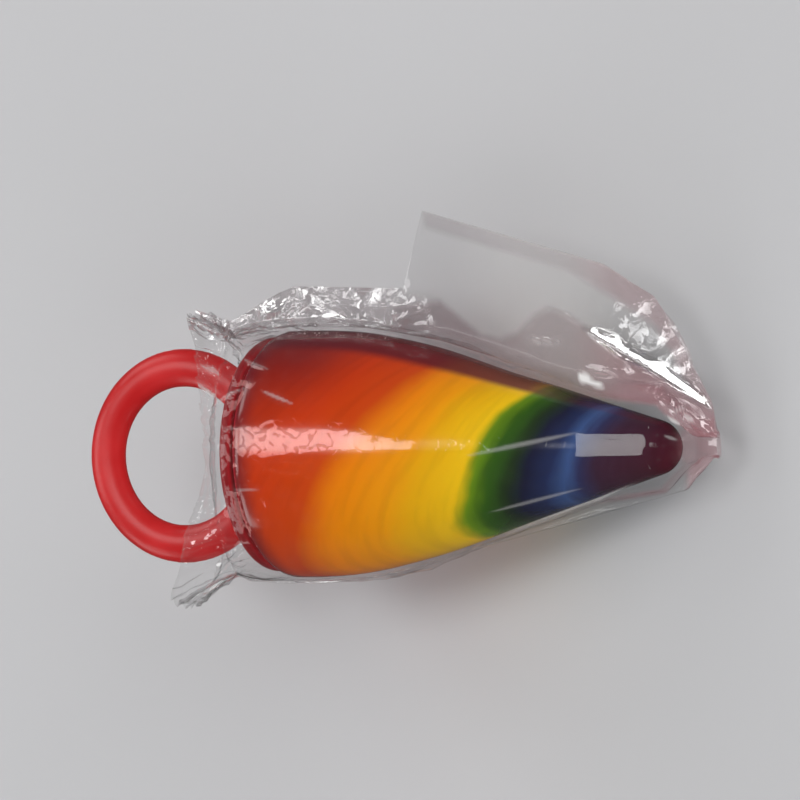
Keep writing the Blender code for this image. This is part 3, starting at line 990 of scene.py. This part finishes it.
def ring_material():
    """Red moulded plastic, satin, with a faint flow of lighter and darker red."""
    nodes = Nodes("red_plastic")
    place = nodes.stored("place", "Vector")
    flow = nodes.noise(place, 0.14, 3.0)
    grain = nodes.noise(place, 1.8, 2.0)
    colour = nodes.mix(nodes.rise(flow, 0.35, 0.7), *(srgb(red) for red in RING_REDS))
    # The saucer is painted a deeper red than the band, as painted shade, and its top under the candy
    # a brighter red, as painted light in the gap below the candy
    along = nodes.split(place)[0]
    colour = nodes.mix(nodes.rise(along, -4.6, -0.8), colour, srgb(SAUCER_SHADE_RED))
    colour = nodes.mix(nodes.rise(along, -0.6, -0.2), colour, srgb(SAUCER_TOP_LIGHT_RED))
    rough = nodes.add(
        "ShaderNodeMapRange", {"Value": flow, "To Min": 0.26, "To Max": 0.38}
    ).outputs["Result"]
    bump = nodes.add("ShaderNodeBump", {"Height": grain, "Strength": 0.05, "Distance": 0.0002})
    shader = nodes.add(
        "ShaderNodeBsdfPrincipled",
        {
            "Base Color": colour,
            "Roughness": rough,
            "Specular IOR Level": 0.27,
            "Normal": bump.outputs["Normal"],
            "Subsurface Weight": 0.25,
            "Subsurface Radius": (1.0, 0.25, 0.2),
            "Subsurface Scale": 0.001,
        },
    )
    return nodes.finish(shader.outputs[0])


def film_material():
    """Thin clear film: see-through face on, a mirror at a slant, a little white at its creases, with
    painted white glints and painted mauve reflection and shade.
    """
    nodes = Nodes("clear_film")
    sheet = nodes.stored("sheet", "Vector")
    along, off, _ = nodes.split(sheet)
    # Hair-fine wrinkles: narrow grooves between cells that are stretched a little
    bent = nodes.noise(sheet, 0.8, 2.0, "Color")
    moved = nodes.add("ShaderNodeVectorMath", {0: sheet, 1: bent}, operation="ADD").outputs[0]
    cells = nodes.add(
        "ShaderNodeTexVoronoi",
        {"Vector": moved, "Scale": 0.75, "Randomness": 1.0},
        feature="DISTANCE_TO_EDGE",
    ).outputs["Distance"]
    # Most of the cells' edges are left out, so that the wrinkles are short
    patches = nodes.rise(nodes.noise(sheet, 1.1, 1.0), 0.47, 0.53)
    depth = nodes.math("MULTIPLY", patches, nodes.stored("wrinkle"))
    groove = nodes.math("SUBTRACT", nodes.rise(cells, 0.0, 0.10), 1.0)
    groove = nodes.math("MULTIPLY", groove, depth)
    bump = nodes.add("ShaderNodeBump", {"Height": groove, "Strength": 1.0, "Distance": 0.00004})
    # The film shines at a slant, and less in its grooves
    facing = nodes.add("ShaderNodeLayerWeight", {"Blend": 0.5}).outputs["Facing"]
    slant = nodes.math("MULTIPLY", nodes.math("POWER", facing, 5.0), 0.38)
    dull = nodes.math("MULTIPLY", nodes.less(nodes.rise(cells, 0.03, 0.13)), depth)
    kept = nodes.math("MAXIMUM", nodes.math("MULTIPLY_ADD", dull, -0.95, 1.0), 0.10)
    shine = nodes.math("MULTIPLY_ADD", nodes.stored("shine"), kept, slant)
    # Over the red candy the highlight is rosy
    red = nodes.math("SUBTRACT", nodes.rise(along, -0.5, 1.0), nodes.rise(along, 10.5, 18.0))
    near = nodes.less(nodes.rise(nodes.math("ABSOLUTE", off), 8.0, 11.0))
    gleam = nodes.mix(nodes.math("MULTIPLY", red, near), WHITE, ROSY_GLEAM)
    gloss = nodes.add(
        "ShaderNodeBsdfGlossy",
        {"Color": gleam, "Roughness": 0.045, "Normal": bump.outputs["Normal"]},
    ).outputs[0]
    # Painted mauve, standing for the candy's reflection and for shade, is rosier by the candy's tip
    tone = nodes.mix(nodes.rise(along, 31.0, 39.0), srgb(SHADE_MAUVE), srgb(REFLECTION_ROSE))
    tint = nodes.math("MULTIPLY", nodes.stored("tint"), 0.18)
    haze = nodes.math("MULTIPLY_ADD", nodes.stored("crease"), 0.04, 0.001)
    # Painted highlight along the cut edge and the frill's end, and painted white glints along the
    # folds with a milky haze on the flap
    haze = nodes.math("MULTIPLY_ADD", nodes.stored("edge"), 0.06, haze)
    haze = nodes.math("MULTIPLY_ADD", nodes.stored("whitened"), 0.45, haze)
    clear = nodes.add("ShaderNodeBsdfTransparent", {"Color": CLEAR}).outputs[0]
    body = nodes.blend(tint, clear, nodes.diffuse(tone))
    body = nodes.blend(haze, body, nodes.diffuse(srgb(HAZE_AND_GLINT_WHITE)))
    return nodes.finish(nodes.blend(shine, body, gloss))


def floor_material():
    """Plain matt paper."""
    nodes = Nodes("floor_paper")
    inputs = {"Base Color": srgb(FLOOR_GREY), "Roughness": 0.9}
    return nodes.finish(nodes.add("ShaderNodeBsdfPrincipled", inputs).outputs[0])


# ------------------------------------------------------------------------------ floor and light

FLOOR_HALF = 1.5
SURROUND_STRENGTH = 0.08

# The light boxes: how far each leans from straight overhead towards +X, and then turns towards
# +Y (degrees), its distance and size (m), its power (W), and the rays that don't see it
Box = namedtuple("Box", "name lean turn distance size power unseen_by", defaults=(None,))
BOXES = (
    Box("key", -3.0, 11.5, 0.60, (0.27, 0.20), 0.95),
    Box("key_end", -22.0, 11.5, 0.60, (0.13, 0.20), 0.44, "diffuse"),
    Box("taper_0", 11.0, 10.1, 0.60, (0.026, 0.166), 0.062),
    Box("taper_1", 13.7, 8.7, 0.60, (0.031, 0.132), 0.052),
    Box("taper_2", 17.0, 7.0, 0.60, (0.038, 0.090), 0.038),
    Box("front_far", 50.0, 34.0, 0.70, (0.60, 0.50), 1.9, "glossy"),
    Box("front_near", 50.0, -34.0, 0.70, (0.60, 0.50), 1.6, "glossy"),
    Box("back_0", -46.0, 42.0, 0.60, (0.26, 0.26), 0.75),
    Box("back_1", -46.0, -42.0, 0.60, (0.26, 0.26), 0.75),
    Box("back_2", -52.0, 0.0, 0.60, (0.26, 0.26), 0.75),
    Box("sparkle_0", 40.0, 58.0, 0.60, (0.08, 0.08), 0.10),
    Box("sparkle_1", 45.0, -62.0, 0.60, (0.08, 0.08), 0.10),
    Box("sparkle_2", 78.0, 5.0, 0.60, (0.08, 0.08), 0.10),
)


def make_floor():
    """A wide pale floor under the lollipop."""
    mesh = bpy.data.meshes.new("floor")
    half = FLOOR_HALF
    mesh.from_pydata(
        [(-half, -half, 0.0), (half, -half, 0.0), (half, half, 0.0), (-half, half, 0.0)],
        [],
        [(0, 1, 2, 3)],
    )
    mesh.materials.append(floor_material())
    floor = bpy.data.objects.new("floor", mesh)
    bpy.context.scene.collection.objects.link(floor)
    floor.visible_glossy = False


def make_softbox(box, target):
    """One soft rectangular light, turned to the target."""
    lean, turn = math.radians(box.lean), math.radians(box.turn)
    away = Vector((math.sin(lean), math.sin(turn), math.cos(lean) * math.cos(turn)))
    away.normalize()
    data = bpy.data.lights.new(box.name, "AREA")
    data.shape = "RECTANGLE"
    data.size, data.size_y = box.size
    data.energy = box.power
    light = bpy.data.objects.new(box.name, data)
    y_axis = away.cross(Vector((1.0, 0.0, 0.0))).normalized()
    x_axis = y_axis.cross(away)
    turned = Matrix((x_axis, y_axis, away)).transposed().to_4x4()
    light.matrix_world = Matrix.Translation(target + away * box.distance) @ turned
    if box.unseen_by:
        setattr(light, "visible_" + box.unseen_by, False)
    bpy.context.scene.collection.objects.link(light)


def make_lights(target):
    """Plain soft studio light: a long box overhead, smaller ones round it, and a pale surround."""
    for box in BOXES:
        make_softbox(box, target)
    world = bpy.data.worlds.new("surround")
    world.use_nodes = True
    background = world.node_tree.nodes["Background"]
    background.inputs["Color"].default_value = WHITE
    background.inputs["Strength"].default_value = SURROUND_STRENGTH
    bpy.context.scene.world = world
    bpy.context.scene.view_settings.view_transform = "Standard"


def make_camera(frame):
    """The photograph's view: from the tip's side, well above, with the axis across the picture."""
    turn = frame.to_3x3().normalized()
    toward = turn @ Vector((math.sin(VIEW_ANGLE), 0.0, math.cos(VIEW_ANGLE)))
    right = turn @ Vector((math.cos(VIEW_ANGLE), 0.0, -math.sin(VIEW_ANGLE)))
    up = turn @ Vector((0.0, 1.0, 0.0))
    cosine, sine = math.cos(VIEW_ROLL), math.sin(VIEW_ROLL)
    right, up = cosine * right - sine * up, cosine * up + sine * right
    data = bpy.data.cameras.new("camera")
    data.lens = LENS
    data.sensor_width = SENSOR
    data.clip_start = 0.01
    camera = bpy.data.objects.new("camera", data)
    distance = VIEW_WIDTH * LENS / SENSOR
    centre = frame @ Vector(VIEW_CENTRE)
    rotation = Matrix((right, up, toward)).transposed().to_4x4()
    camera.matrix_world = Matrix.Translation(centre + toward * distance) @ rotation
    bpy.context.scene.collection.objects.link(camera)
    bpy.context.scene.camera = camera


def main():
    """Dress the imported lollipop, light it and set the camera."""
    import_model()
    frame = lollipop_frame()
    make_candy(frame)
    make_ring(frame)
    make_film(frame)
    make_floor()
    make_lights(frame @ Vector(VIEW_CENTRE))
    make_camera(frame)


main()
